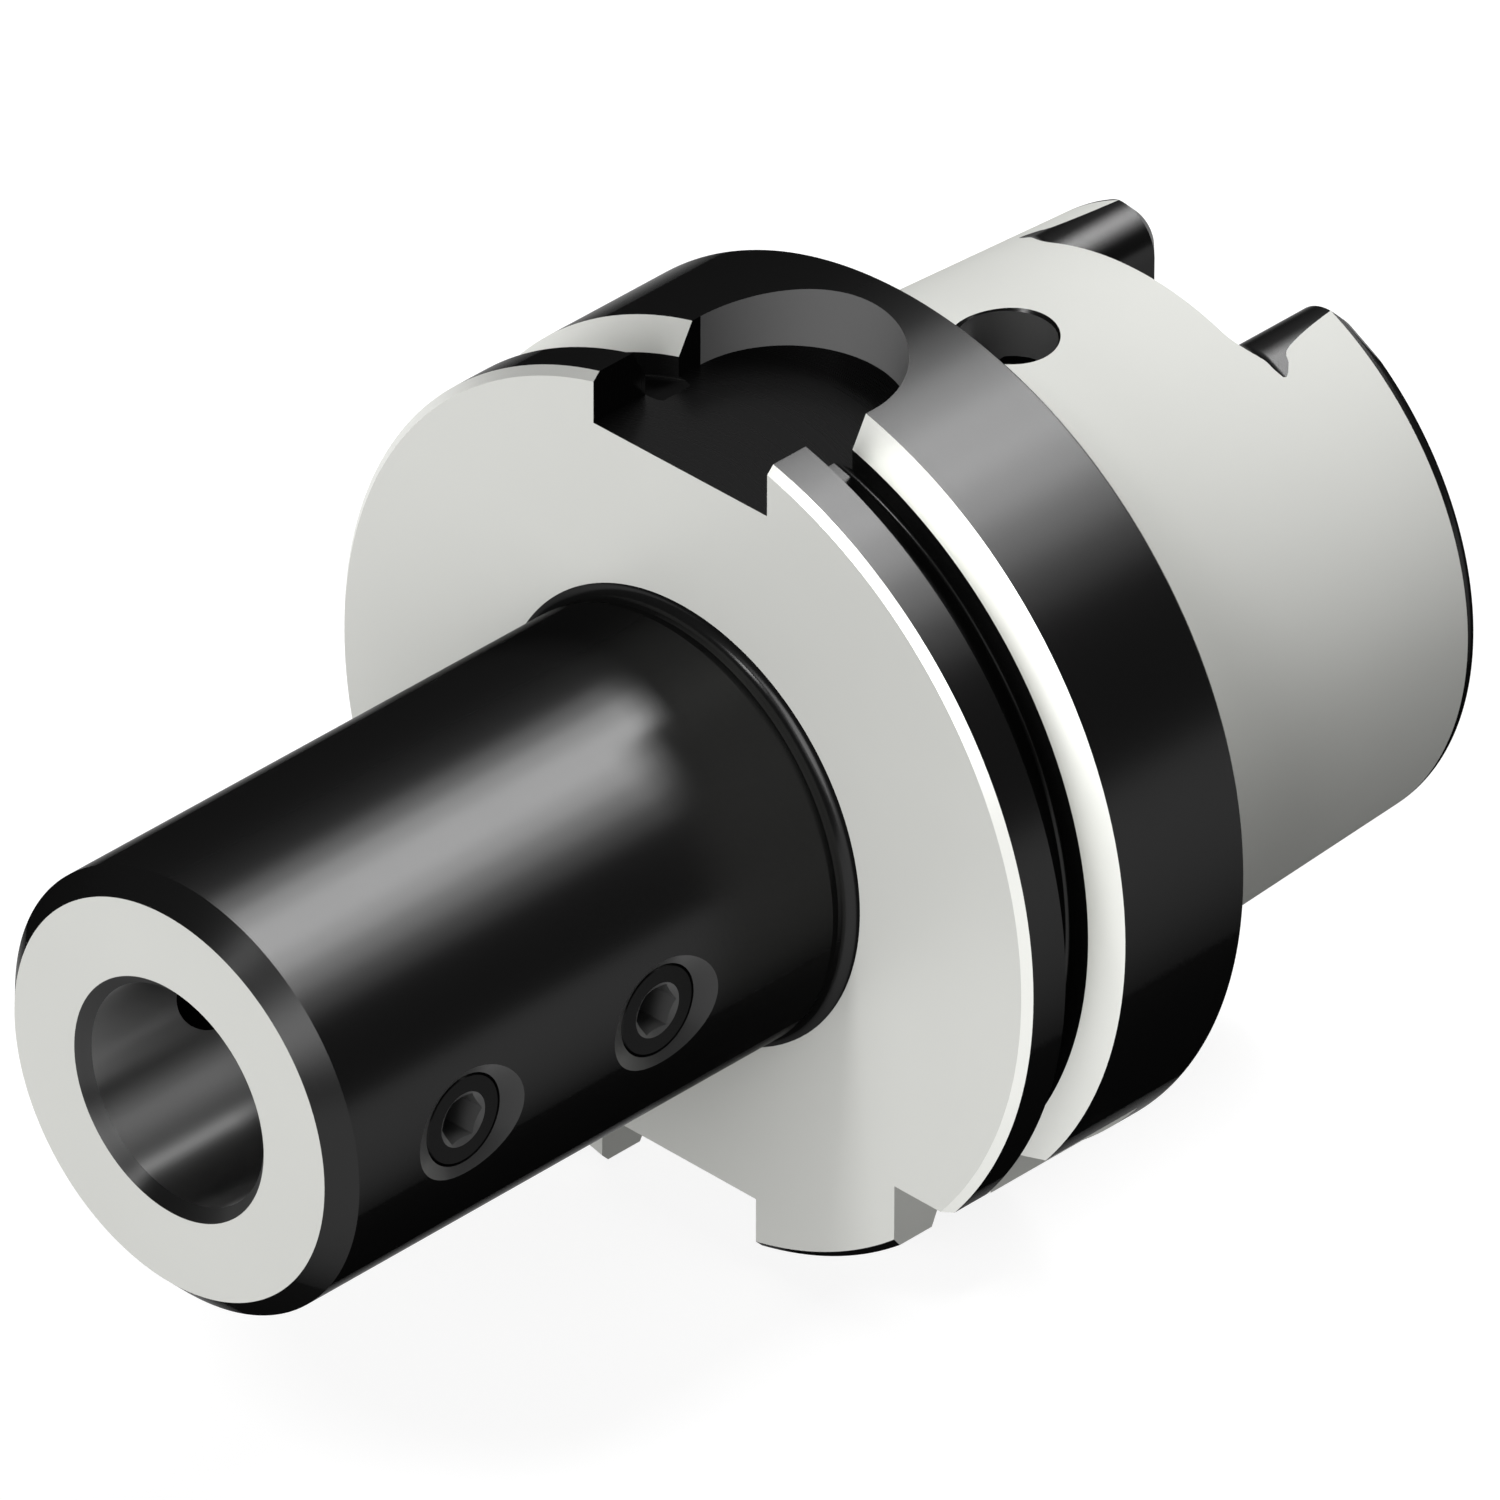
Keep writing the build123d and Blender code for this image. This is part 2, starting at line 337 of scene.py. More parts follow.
def revolved(outline, axis, origin, steps, closed=False, swell=None):
    """Points and quads of an outline turned round an axis.

    The point at row i and column j is outline point i, at its place along the axis and
    its radius, turned by 360 j / steps degrees. swell gives a radius for each place and
    angle instead, which is how a helical thread is cut.
    """
    outline = np.asarray(outline, float)
    turn = 2 * np.pi * np.arange(steps) / steps
    along = np.repeat(outline[:, :1], steps, axis=1)
    radius = np.repeat(outline[:, 1:2], steps, axis=1)
    if swell is not None:
        radius = swell(along, radius, turn[None, :])
    first, second = radius * np.cos(turn), radius * np.sin(turn)
    order = {"X": (along, first, second), "Y": (second, along, first), "Z": (first, second, along)}
    points = np.stack(order[axis], axis=-1).reshape(-1, 3) + np.array(origin)
    return points, grid_quads(len(outline), steps, closed, True)


def capped(points, quads, columns, low_number, high_number, numbers):
    """Adds the two flat ends to a tube with rows of so many points, and their surface numbers."""
    faces = [tuple(quad) for quad in quads]
    faces.append(tuple(range(columns - 1, -1, -1)))
    faces.append(tuple(range(len(points) - columns, len(points))))
    return points, faces, list(numbers) + [low_number, high_number]


def prism(outline, direction, low, high, side_numbers, end_number):
    """A straight prism over an outline given in the plane across a direction."""
    outline = np.asarray(outline, float)
    count = len(outline)
    a, b = np.tile(outline, (2, 1)).T
    c = np.repeat((low, high), count)
    order = {"X": (c, a, b), "Y": (a, c, b), "Z": (a, b, c)}
    points = np.stack(order[direction], axis=-1)
    quads = grid_quads(2, count, False, True)
    return capped(points, quads, count, end_number, end_number, side_numbers)


def outward(mesh):
    """Turns a closed mesh right side out: the sum of its signed cone volumes becomes positive."""
    mesh.calc_loop_triangles()
    corners = read_array(mesh.loop_triangles, "vertices", 3, np.int32)
    places = read_array(mesh.vertices, "co", 3)
    a, b, c = (places[corners[:, k]] for k in range(3))
    if np.einsum("ij,ij->", a, np.cross(b, c)) < 0:
        mesh.flip_normals()


def arc(centre, radius, start, end, steps):
    """Points along an arc in the outline's plane, from one angle to another in degrees."""
    turn = np.radians(np.linspace(start, end, steps + 1))
    return np.stack((centre[0] + radius * np.cos(turn), centre[1] + radius * np.sin(turn)), axis=1)


def shank_radius(place):
    """Radius of the 1:10 taper at a place behind the gauge face."""
    return (GAUGE_DIAMETER - TAPER * (place - GAUGE_DIAMETER_PLACE)) / 2


class TurnedOutline:
    """Collects an outline as straight runs and arcs, with a surface number for each step."""

    def __init__(self, start):
        self.points = [np.array(start, float)]
        self.numbers = []

    def run(self, end, finish="black_turned", steps=1):
        """A straight run, whose normal is square to it and constant."""
        start, end = self.points[-1], np.array(end, float)
        way = (end - start) / np.linalg.norm(end - start)
        number = round_surface(finish, (0, 0, 0), X_AXIS, way[0], -way[1])
        self.points += [start + (end - start) * (k + 1) / steps for k in range(steps)]
        self.numbers += [number] * steps

    def turn(self, centre, start, end, steps, sign=-1):
        """A rounded corner about a centre, from one angle to another: hollow, or with sign 1
        standing out."""
        radius = np.linalg.norm(self.points[-1] - np.array(centre))
        number = ring_surface("black_turned", (centre[0], 0, 0), X_AXIS, centre[1], sign)
        self.points += list(arc(centre, radius, start, end, steps)[1:])
        self.numbers += [number] * steps


def thread_wave(along, turn, pitch):
    """Depth of a helical thread from 0 to 1: crest, flank, root and flank over each pitch."""
    part = np.mod(along / pitch - turn / (2 * np.pi), 1.0)
    return np.clip((np.abs(part - 0.5) * 2 - CREST_SHARE) / FLANK_SHARE, 0, 1)


def add_nose(shape):
    """Face, chamfer and cylinder of the nose, and the relief with a round corner at its root."""
    root = bpy.context.scene.adapter_sizes.root_radius / MM
    land = NOSE_RADIUS - RELIEF_DEPTH
    relief = FRONT_FACE - RELIEF_LENGTH
    shape.run((NOSE_FACE, NOSE_RADIUS - NOSE_CHAMFER), "ground_face")
    shape.run((NOSE_FACE + NOSE_CHAMFER, NOSE_RADIUS))
    shape.run((relief, NOSE_RADIUS), steps=24)
    shape.run((relief + RELIEF_RAMP, land))
    shape.run((FRONT_FACE - root, land))
    shape.turn((FRONT_FACE - root, land + root), 270, 360, 10)
    shape.run((FRONT_FACE, ROOT_RING_RADIUS))


def add_flange(shape):
    """Front face and chamfer, the V groove with its flat slot, the rim and the gauge face."""
    corner = bpy.context.scene.adapter_sizes.groove_corner / MM
    # The flange's front face takes a lighter copy of the ground steel: painted light
    shape.run((FRONT_FACE, FLANGE_RADIUS - FRONT_CHAMFER), "ground_flange")
    # Front chamfer and V flanks take a lighter copy of the ground steel: painted highlight
    shape.run((FRONT_FACE + FRONT_CHAMFER, FLANGE_RADIUS), "ground_flank")
    SURFACES[shape.numbers[-1]]["tab_finish"] = "black_turned"
    flank_width = GROOVE_HALF_MOUTH - GROOVE_HALF_SLOT
    flank_end = FLANGE_RADIUS - flank_width / math.tan(GROOVE_LEAN)
    front, back = GROOVE_CENTRE - GROOVE_HALF_SLOT, GROOVE_CENTRE + GROOVE_HALF_SLOT
    shape.run((GROOVE_CENTRE - GROOVE_HALF_MOUTH, FLANGE_RADIUS))
    shape.run((front, flank_end), "ground_flank")
    shape.run((front, GROOVE_BOTTOM + corner))
    shape.turn((front + corner, GROOVE_BOTTOM + corner), 180, 270, 6)
    shape.run((back - corner, GROOVE_BOTTOM))
    shape.turn((back - corner, GROOVE_BOTTOM + corner), 270, 360, 6)
    shape.run((back, flank_end))
    shape.run((GROOVE_CENTRE + GROOVE_HALF_MOUTH, FLANGE_RADIUS), "ground_flank")
    shape.run((-BACK_CHAMFER, FLANGE_RADIUS), steps=8)
    shape.run((0, FLANGE_RADIUS - BACK_CHAMFER))
    shape.run((0, GAUGE_FACE_INNER), "ground_face")


def add_shank(shape):
    """Relief in the corner of the gauge face, then the taper and the rounding at its end.

    The rounding starts where the taper's own lean of 2.86 degrees leaves it.
    """
    corner = GAUGE_RELIEF_CORNER
    land = shank_radius(SHANK_RELIEF_END) - SHANK_RELIEF_DEPTH
    shape.run((-GAUGE_RELIEF_DEPTH, GAUGE_RELIEF_INNER))
    shape.run((-GAUGE_RELIEF_DEPTH, land + corner))
    shape.turn((corner - GAUGE_RELIEF_DEPTH, land + corner), 180, 270, 4)
    shape.run((SHANK_RELIEF_RAMP, land))
    shape.run((SHANK_RELIEF_END, shank_radius(SHANK_RELIEF_END)))
    end_radius = bpy.context.scene.adapter_sizes.shank_end_radius / MM
    lean = math.atan(TAPER / 2)
    centre_x = SHANK_END - end_radius
    centre_r = shank_radius(centre_x + end_radius * math.sin(lean)) - end_radius * math.cos(lean)
    round_start = 90 - math.degrees(lean)
    leave = arc((centre_x, centre_r), end_radius, round_start, 0, 1)[0]
    bare_end = leave[0] - BLACK_END_LENGTH
    shape.run((bare_end, shank_radius(bare_end)), "ground_taper", steps=24)
    shape.run(leave)
    shape.turn((centre_x, centre_r), round_start, 0, 10, sign=1)


def add_hollow(shape):
    """Hollow of the shank from its mouth inwards: chamfer, clamping shoulder and groove, seat."""
    shape.run((SHANK_END, MOUTH_RADIUS + MOUTH_CHAMFER))
    shape.run((SHANK_END - MOUTH_CHAMFER, MOUTH_RADIUS))
    shape.run((SHOULDER_PLACE, MOUTH_RADIUS), steps=6)
    shoulder = (CLAMPING_RADIUS - MOUTH_RADIUS) / math.tan(SHOULDER_LEAN)
    shape.run((SHOULDER_PLACE - shoulder, CLAMPING_RADIUS), "ground_taper")
    corner = CLAMPING_GROOVE_END + HOLLOW_CORNER
    shape.run((corner, CLAMPING_RADIUS))
    shape.turn((corner, CLAMPING_RADIUS - HOLLOW_CORNER), 90, 180, 5)
    shape.run((CLAMPING_GROOVE_END, CLAMPING_RADIUS - CLAMPING_GROOVE_LAND))
    shape.run((CLAMPING_GROOVE_END - CLAMPING_GROOVE_RAMP, MOUTH_RADIUS))
    corner = COOLANT_SEAT + HOLLOW_CORNER
    shape.run((corner, MOUTH_RADIUS), steps=3)
    shape.turn((corner, MOUTH_RADIUS - HOLLOW_CORNER), 90, 180, 5)
    shape.run((COOLANT_SEAT, COOLANT_MOUTH))


def add_bores(shape):
    """Coolant thread, channel and tool bore; returns the first and last row of the thread."""
    first_row = len(shape.points) - 1
    shape.run((COOLANT_THREAD_END, COOLANT_MOUTH), "thread", steps=96)
    last_row = len(shape.points) - 1
    for number in set(shape.numbers[first_row:last_row]):
        SURFACES[number]["rule"] = "soft"
    shape.run((COOLANT_THREAD_END, COOLANT_CORE))
    cone = (COOLANT_CORE - CHANNEL_RADIUS) / DRILL_SLOPE
    shape.run((COOLANT_THREAD_END - cone, CHANNEL_RADIUS))
    cone = (BORE_RADIUS - CHANNEL_RADIUS) / DRILL_SLOPE
    shape.run((BORE_BOTTOM + cone, CHANNEL_RADIUS), steps=4)
    shape.run((BORE_BOTTOM, BORE_RADIUS))
    # The bore and its chamfer take honed steel in colours far lighter than the black oxide:
    # painted sheen
    shape.run((NOSE_FACE + BORE_CHAMFER, BORE_RADIUS), "bore_honed", steps=20)
    shape.run((NOSE_FACE, BORE_RADIUS + BORE_CHAMFER), "bore_edge")
    return first_row, last_row


def turned_body():
    """The whole holder, turned: round the outside from the bore's mouth and back inside."""
    depth = bpy.context.scene.adapter_sizes.coolant_thread_depth / MM
    shape = TurnedOutline((NOSE_FACE, BORE_RADIUS + BORE_CHAMFER))
    for add in (add_nose, add_flange, add_shank, add_hollow):
        add(shape)
    first_row, last_row = add_bores(shape)
    points = np.array(shape.points[:-1])
    threaded = np.zeros(len(points), bool)
    threaded[first_row:last_row + 1] = True

    def coolant_thread(along, radius, turn):
        """Radius between core and root: a wave along the axis that moves a pitch in each turn,
        held open by a 45 degree mouth chamfer and faded out over a pitch at the inner end."""
        wave = thread_wave(along, turn, COOLANT_PITCH)
        fade = np.clip((along - COOLANT_THREAD_END) / COOLANT_PITCH, 0, 1)
        cut_radius = COOLANT_CORE + depth * wave * fade
        mouth = COOLANT_MOUTH - (COOLANT_SEAT - along)
        return np.where(threaded[:, None], np.maximum(cut_radius, mouth), radius)

    places, quads = revolved(points, "X", (0, 0, 0), STEPS_ROUND, True, coolant_thread)
    return places, quads, np.repeat(shape.numbers, STEPS_ROUND)


def keyway_cutter(half_width, side, finish):
    """Slot with a round end: straight walls along X, then half a circle, down to a flat floor."""
    centre = FRONT_FACE + KEYWAY_LENGTH - half_width
    start = FRONT_FACE - OVERRUN
    bend_steps = 48
    bend = arc((centre, 0), half_width, -90, 90, bend_steps)
    outline = np.vstack(([(start, -half_width)], bend, [(start, half_width)]))
    wall = surface(finish)
    floor = surface(finish)
    # The upper keyway's round end takes a grey far lighter than the black oxide: painted sheen in
    # place of its highlight stripes
    end = "black_bored" if side > 0 else finish
    rounded = round_surface(end, (centre, 0, 0), Z_AXIS, -1.0)
    sides = [wall] + [rounded] * bend_steps + [wall, wall]
    low, high = sorted((side * KEYWAY_FLOOR, side * (FLANGE_RADIUS + OVERRUN)))
    return prism(outline, "Z", low, high, sides, floor)


def notch_cutter():
    """Square block over the corner of the flange between -Y and -Z."""
    far = FLANGE_RADIUS + OVERRUN
    # The notch's walls take a darker copy of the ground steel: painted shade
    wall = surface("ground_milled")
    outline = [(-far, -far), (-NOTCH_WALL, -far), (-NOTCH_WALL, -NOTCH_WALL), (-far, -NOTCH_WALL)]
    low, high = FRONT_FACE - OVERRUN, FRONT_FACE + NOTCH_LENGTH
    return prism(outline, "X", low, high, [wall] * 4, wall)


def key_hole_cutter():
    """Radial hole through the upper wall of the shank, with a chamfered mouth."""
    outside = shank_radius(KEY_HOLE_PLACE)
    outline = np.array((
        (KEY_HOLE_START, KEY_HOLE_RADIUS),
        (outside - KEY_HOLE_CHAMFER, KEY_HOLE_RADIUS),
        (outside + OVERRUN, KEY_HOLE_RADIUS + KEY_HOLE_CHAMFER + OVERRUN),
    ))
    origin = (KEY_HOLE_PLACE, 0, 0)
    places, quads = revolved(outline, "Z", origin, SMALL_STEPS)
    # The key hole's wall and end take the same grey painted sheen
    wall = round_surface("black_bored", origin, Z_AXIS, -1.0)
    mouth = round_surface("black_turned", origin, Z_AXIS, -COS_45, COS_45)
    end = surface("black_bored")
    numbers = np.repeat((wall, mouth), SMALL_STEPS)
    return capped(places, quads, SMALL_STEPS, end, end, numbers)


def screw_hole_cutter(place):
    """Threaded hole square to the axis, countersunk outside and drilled on into the far wall."""
    thread_start, thread_end = -SCREW_OUTER_END, -BORE_RADIUS + THREAD_PAST_BORE
    fade_start, fade_length, end_gap = 0.5, 1.0, 0.1
    rows = np.linspace(thread_start, thread_end, 60)
    point = SCREW_HOLE_END + (THREAD_CORE - TIP_RADIUS) / DRILL_SLOPE
    outline = np.vstack((
        [(-NOSE_RADIUS - OVERRUN, COUNTERSINK_RADIUS + OVERRUN * COUNTERSINK_SLOPE)],
        np.stack((rows, np.full(len(rows), THREAD_CORE)), axis=1),
        [(SCREW_HOLE_END, THREAD_CORE), (point, TIP_RADIUS)],
    ))

    def thread(along, radius, turn):
        """A wave along the hole that moves a pitch in each turn and fades in below the mouth."""
        wave = thread_wave(along, turn, SCREW_PITCH)
        fade = np.clip((along - thread_start - fade_start) / fade_length, 0, 1)
        inside = (along > thread_start) & (along < thread_end - end_gap)
        return radius + np.where(inside, (THREAD_MAJOR - THREAD_CORE) * wave * fade, 0)

    origin = (place, 0, 0)
    places, quads = revolved(outline, "Y", origin, SMALL_STEPS, swell=thread)
    out, along = -math.cos(COUNTERSINK_LEAN), -math.sin(COUNTERSINK_LEAN)
    # The countersink takes a dull black lighter than the oxide: painted sheen
    sink = round_surface("black_sink", origin, Y_AXIS, out, along)
    threaded = surface("black_turned", "soft")
    wall = round_surface("black_turned", origin, Y_AXIS, -1.0)
    end = surface("black_turned")
    numbers = np.repeat([sink] + [threaded] * (len(rows) - 1) + [wall, end], SMALL_STEPS)
    return capped(places, quads, SMALL_STEPS, end, end, numbers)


def lip_place():
    """Centre of the slot's lip in the plane across the axis, and its turn to the run-out."""
    across = SLOT_HALF_WIDTH + LIP_RADIUS
    reach = shank_radius(LIP_BLEND_PLACE) - LIP_RADIUS
    up = math.sqrt(reach**2 - across**2)
    return across, up, 90 + math.degrees(math.atan2(across, up)) - LIP_RUN_OUT_LEAN


def drive_slot_cutter(depth, side):
    """Drive slot: one section, drawn in near the floor and out towards the shank's end.

    The section has a flat wall each side, a lip of 4 mm radius that leaves it, and a
    straight run from where the lip comes near the taper. Rows near the floor are drawn
    in by R - sqrt(R^2 - (R - h)^2) at height h above it, which rounds the floor's corner.
    The last row is drawn out by its height over the row before, a 45 degree chamfer.
    """
    across, up, blend = lip_place()
    floor = SHANK_END - depth
    steps, fillet_rows = 40, 10
    fillet = np.radians(np.linspace(0, 90, fillet_rows + 1))
    height = SLOT_FLOOR_RADIUS * (1 - np.cos(fillet))
    inset = SLOT_FLOOR_RADIUS * (1 - np.sin(fillet))
    mouth_start, mouth_end = SHANK_END - SLOT_MOUTH_CHAMFER, SHANK_END + SLOT_CUTTER_PAST_END
    places = np.concatenate((floor + height, [mouth_start, mouth_end]))
    insets = np.concatenate((inset, [0.0, -SLOT_MOUTH_CHAMFER - SLOT_CUTTER_PAST_END]))
    turn = np.radians(np.linspace(0, blend, steps + 1))
    run = np.array((math.sin(turn[-1]), math.cos(turn[-1])))
    rows = []
    for place, draw in zip(places, insets):
        radius = LIP_RADIUS + draw
        right = np.stack((across - radius * np.cos(turn), up + radius * np.sin(turn)), axis=1)
        past = right[-1] + RUN_OUT_LENGTH * run
        foot, top = (SLOT_HALF_WIDTH - draw, SLOT_CUTTER_FOOT), (past[0], SLOT_CUTTER_TOP)
        right = np.vstack(([foot], right, [past, top]))
        left = right[::-1] * (-1, 1)
        section = np.vstack((right, left))
        rows.append(np.column_stack((np.full(len(section), place), section)))
    columns = len(rows[0])
    points = np.vstack(rows)
    points[:, 2] *= side
    number = {}
    finish = "black_slot"
    for hand in (1, -1):
        centre = (floor + SLOT_FLOOR_RADIUS, hand * across, side * up)
        number["wall", hand] = surface(finish)
        number["lip", hand] = round_surface(finish, centre, X_AXIS, 1.0)
        number["run", hand] = surface(finish)
        ring = LIP_RADIUS + SLOT_FLOOR_RADIUS
        inner = (floor + SLOT_FLOOR_RADIUS, hand * (SLOT_HALF_WIDTH - SLOT_FLOOR_RADIUS), 0)
        number["wall_foot", hand] = round_surface(finish, inner, Z_AXIS, -1.0)
        number["lip_foot", hand] = ring_surface(finish, centre, X_AXIS, ring, -1)
        way = np.array((0.0, hand * run[0], side * run[1]))
        out = np.array((0.0, -hand * math.cos(turn[-1]), side * math.sin(turn[-1])))
        number["run_foot", hand] = round_surface(finish, np.array(centre) + ring * out, way, -1.0)
        number["wall_mouth", hand] = surface(finish)
        number["lip_mouth", hand] = round_surface(finish, centre, X_AXIS, COS_45, COS_45)
        number["run_mouth", hand] = surface(finish)
    end = surface(finish)
    half = ["wall"] + ["lip"] * steps + ["run", "end"]
    numbers = []
    for row in range(len(rows) - 1):
        zone = "_foot" if row < fillet_rows else "_mouth" if row > fillet_rows else ""
        right = [number.get((name + zone, 1), end) for name in half]
        left = [number.get((name + zone, -1), end) for name in half[::-1]]
        numbers += right + [end] + left + [end]
    numbers = np.array(numbers)
    quads = grid_quads(len(rows), columns, False, True)
    return capped(points, quads, columns, surface(finish), end, numbers)


def cut(name, body, cutters, slots):
    """Takes the cutters away from a body, and returns the mesh that is left."""
    base = new_object(new_mesh(name, *body, slots=slots))
    outward(base.data)
    folder = bpy.data.collections.new(name + "_cutters")
    bpy.context.scene.collection.children.link(folder)
    tools = []
    for index, shape in enumerate(cutters):
        mesh = new_mesh(f"{name}_cutter_{index}", *shape, slots=slots)
        outward(mesh)
        tools.append(new_object(mesh, folder))
    step = base.modifiers.new("cut", "BOOLEAN")
    step.operation = "DIFFERENCE"
    step.operand_type = "COLLECTION"
    step.collection = folder
    step.solver = "EXACT"
    bpy.context.view_layer.update()
    view = bpy.context.evaluated_depsgraph_get()
    mesh = bpy.data.meshes.new_from_object(base.evaluated_get(view))
    for item in tools + [base]:
        old = item.data
        bpy.data.objects.remove(item)
        bpy.data.meshes.remove(old)
    bpy.data.collections.remove(folder)
    return mesh


def on_tab(mesh):
    """True for faces over the tab of the flange between the lower keyway and the notch."""
    _, across, up = read_array(mesh.polygons, "center", 3).T / MM
    return (up < 0) & (across < -LOWER_KEYWAY_HALF) & (across > -NOTCH_WALL)


def exact_normals(mesh, numbers):
    """A normal for each corner of the faces, from the rules of the surfaces they belong to."""
    flat = read_array(mesh.polygons, "normal", 3)
    corners = read_array(mesh.loops, "vertex_index", 1, np.int32)
    points = read_array(mesh.vertices, "co", 3)[corners] / MM
    totals = read_array(mesh.polygons, "loop_total", 1, np.int32)
    owner = np.repeat(np.arange(len(mesh.polygons)), totals)
    normals = flat[owner]
    for number, card in enumerate(SURFACES):
        chosen = numbers[owner] == number
        if not chosen.any():
            continue
        if card["rule"] == "soft":
            total = np.zeros((len(mesh.vertices), 3))
            np.add.at(total, corners[chosen], flat[owner[chosen]])
            shared = total[corners[chosen]]
            normals[chosen] = shared / np.linalg.norm(shared, axis=1)[:, None]
        else:
            normals[chosen] = surface_normals(card, points[chosen], flat[owner[chosen]])
    # Where a rule and its face disagree the face is right, as on a sliver
    wrong = np.einsum("ij,ij->i", normals, flat[owner]) < LEAST_AGREEMENT
    normals[wrong] = flat[owner][wrong]
    return normals


def dress(mesh, name, finishes):
    """Gives a cut mesh its exact normals and its finishes, and returns it as an object."""
    numbers = read_array(mesh.polygons, "material_index", 1, np.int32)
    normals = exact_normals(mesh, numbers)
    names = sorted({card["finish"] for card in SURFACES})
    slots = np.array([names.index(card["finish"]) for card in SURFACES])
    mesh.materials.clear()
    for finish in names:
        mesh.materials.append(finishes[finish])
    face_slots = slots[numbers]
    for number, card in enumerate(SURFACES):
        if "tab_finish" in card:
            tab = (numbers == number) & on_tab(mesh)
            face_slots[tab] = names.index(card["tab_finish"])
    mesh.polygons.foreach_set("material_index", face_slots.astype(np.int32))
    mesh.polygons.foreach_set("use_smooth", np.ones(len(mesh.polygons), dtype=bool))
    mesh.normals_split_custom_set(normals.tolist())
    mesh.name = name
    return new_object(mesh)


def add_node(tree, kind, inputs=(), **settings):
    """Adds a node, sets its properties, and fills or links its inputs."""
    node = tree.nodes.new(kind)
    for key, value in settings.items():
        setattr(node, key, value)
    for socket, value in dict(inputs).items():
        if isinstance(value, bpy.types.NodeSocket):
            tree.links.new(value, node.inputs[socket])
        else:
            node.inputs[socket].default_value = value
    return node


def math_node(tree, operation, a, b=0.0, c=0.0):
    """One step of arithmetic on sockets or numbers."""
    return add_node(tree, "ShaderNodeMath", {0: a, 1: b, 2: c}, operation=operation).outputs[0]


def place_parts(tree):
    """The place on the object, and its parts along X, Y and Z, in metres."""
    where = add_node(tree, "ShaderNodeTexCoord").outputs["Object"]
    parts = add_node(tree, "ShaderNodeSeparateXYZ", {0: where}).outputs
    return where, parts[0], parts[1], parts[2]


def distance_node(tree, first, second):
    """The root of the sum of two squares."""
    squares = [math_node(tree, "MULTIPLY", part, part) for part in (first, second)]
    return math_node(tree, "SQRT", math_node(tree, "ADD", *squares))


def line_noise(tree, value, per_metre, detail=2.0):
    """Noise that changes along one value only, so it draws lines where that value is constant."""
    scaled = math_node(tree, "MULTIPLY", value, per_metre)
    node = add_node(tree, "ShaderNodeTexNoise", {"W": scaled, "Scale": 1.0, "Detail": detail},
                    noise_dimensions="1D")
    return node.outputs["Fac"]


# Half the spread of a finish's tone, and the height in metres that its marks stand for
TONE_SPREAD = 0.035
MARK_HEIGHT = 0.00001


def steel(name, marks, depth, colour, metal, roughness, spread, edge_tint, gloss, stretch=0.0):
    """Steel with tool marks: marks(tree) gives a height from 0 to 1 that also stirs the gloss.

    stretch draws highlights out along the tool axis, as fine rings round it do.
    """
    material = bpy.data.materials.new(name)
    material.use_nodes = True
    tree = material.node_tree
    shader = tree.nodes["Principled BSDF"]
    height, cloud = marks(tree)
    stir = math_node(tree, "MULTIPLY_ADD", height, spread, roughness - spread / 2)
    tree.links.new(stir, shader.inputs["Roughness"])
    dark = [part * (1 - TONE_SPREAD) for part in colour] + [1.0]
    light = [min(part * (1 + TONE_SPREAD), 1.0) for part in colour] + [1.0]
    tint = add_node(tree, "ShaderNodeMix", {0: cloud, 6: dark, 7: light}, data_type="RGBA")
    tree.links.new(tint.outputs[2], shader.inputs["Base Color"])
    bump = add_node(tree, "ShaderNodeBump",
                    {"Strength": depth, "Distance": MARK_HEIGHT, "Height": height})
    tree.links.new(bump.outputs[0], shader.inputs["Normal"])
    shader.inputs["Metallic"].default_value = metal
    shader.inputs["Specular IOR Level"].default_value = gloss
    shader.inputs["Specular Tint"].default_value = (edge_tint, edge_tint, edge_tint, 1.0)
    if stretch:
        around = add_node(tree, "ShaderNodeTangent", direction_type="RADIAL", axis="X")
        tree.links.new(around.outputs[0], shader.inputs["Tangent"])
        quarter_turn = 0.25
        shader.inputs["Anisotropic"].default_value = stretch
        shader.inputs["Anisotropic Rotation"].default_value = quarter_turn
    return material


def soft_cloud(tree, where, scale):
    """Slow change of tone over the surface."""
    node = add_node(tree, "ShaderNodeTexNoise", {"Vector": where, "Scale": scale, "Detail": 3.0})
    return node.outputs["Fac"]


def turned_marks(tree):
    """Feed rings round the axis: fine lines along the place plus part of the radius."""
    radius_share = 0.7
    where, along, across, up = place_parts(tree)
    part = math_node(tree, "MULTIPLY", distance_node(tree, across, up), radius_share)
    way = math_node(tree, "ADD", part, along)
    return line_noise(tree, way, per_metre=9000.0), soft_cloud(tree, where, scale=60.0)


def ground_face_marks(tree):
    """Rings of a face ground on its side: fine lines along the radius."""
    where, _, across, up = place_parts(tree)
    radius = distance_node(tree, across, up)
    lines = line_noise(tree, radius, per_metre=7000.0, detail=4.0)
    return lines, soft_cloud(tree, where, scale=45.0)


def ground_round_marks(tree):
    """Grinding lines round the axis."""
    where, along, _, _ = place_parts(tree)
    lines = line_noise(tree, along, per_metre=12000.0, detail=4.0)
    return lines, soft_cloud(tree, where, scale=45.0)


def bored_marks(tree):
    """Feed rings round a hole that stands up from the axis: fine lines along Z."""
    where, _, _, up = place_parts(tree)
    return line_noise(tree, up, per_metre=8000.0), soft_cloud(tree, where, scale=60.0)


